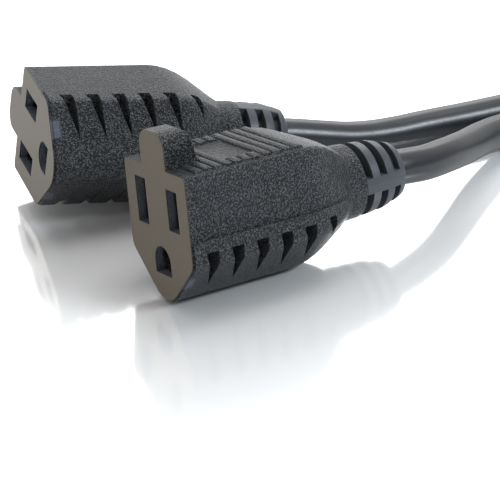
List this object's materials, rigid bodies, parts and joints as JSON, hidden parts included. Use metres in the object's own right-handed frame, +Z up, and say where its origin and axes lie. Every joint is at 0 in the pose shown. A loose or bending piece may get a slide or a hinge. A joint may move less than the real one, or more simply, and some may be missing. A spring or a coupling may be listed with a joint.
{
  "type": "power cord splitter",
  "caption": "Short grounded power cord that splits one moulded plug into two moulded receptacles, each on a round cord of its own with a segmented strain relief.",
  "frame": {"origin": "on the floor, under the middle of the box around the two receptacles", "axes": "+X from the front receptacle's socket face towards its cord, +Y towards the receptacle behind, +Z up"},
  "size_m": [0.4284, 0.082, 0.0367],
  "materials": {
    "moulding": "soft moulded plastic with a fine leather grain",
    "jacket": "smooth satin cord jacket",
    "brass": "bare stamped strip",
    "nickel": "nickel plated",
    "copper": "bare stranded copper",
    "hot": "conductor insulation",
    "neutral": "conductor insulation",
    "ground": "conductor insulation"
  },
  "bodies": {
    "root": {"front_contact_ground": "brass", "front_contact_hot": "brass", "front_contact_neutral": "brass", "front_copper_ground": "copper", "front_copper_hot": "copper", "front_copper_neutral": "copper", "front_cord": "jacket", "front_core_ground": "ground", "front_core_hot": "hot", "front_core_neutral": "neutral", "front_housing": "moulding", "plug_blade_hot": "nickel", "plug_blade_neutral": "nickel", "plug_copper_a_ground": "copper", "plug_copper_a_hot": "copper", "plug_copper_a_neutral": "copper", "plug_copper_b_ground": "copper", "plug_copper_b_hot": "copper", "plug_copper_b_neutral": "copper", "plug_core_a_ground": "ground", "plug_core_a_hot": "hot", "plug_core_a_neutral": "neutral", "plug_core_b_ground": "ground", "plug_core_b_hot": "hot", "plug_core_b_neutral": "neutral", "plug_ground_pin": "nickel", "plug_housing": "moulding", "rear_contact_ground": "brass", "rear_contact_hot": "brass", "rear_contact_neutral": "brass", "rear_copper_ground": "copper", "rear_copper_hot": "copper", "rear_copper_neutral": "copper", "rear_cord": "jacket", "rear_core_ground": "ground", "rear_core_hot": "hot", "rear_core_neutral": "neutral", "rear_housing": "moulding"}
  },
  "joints": []
}
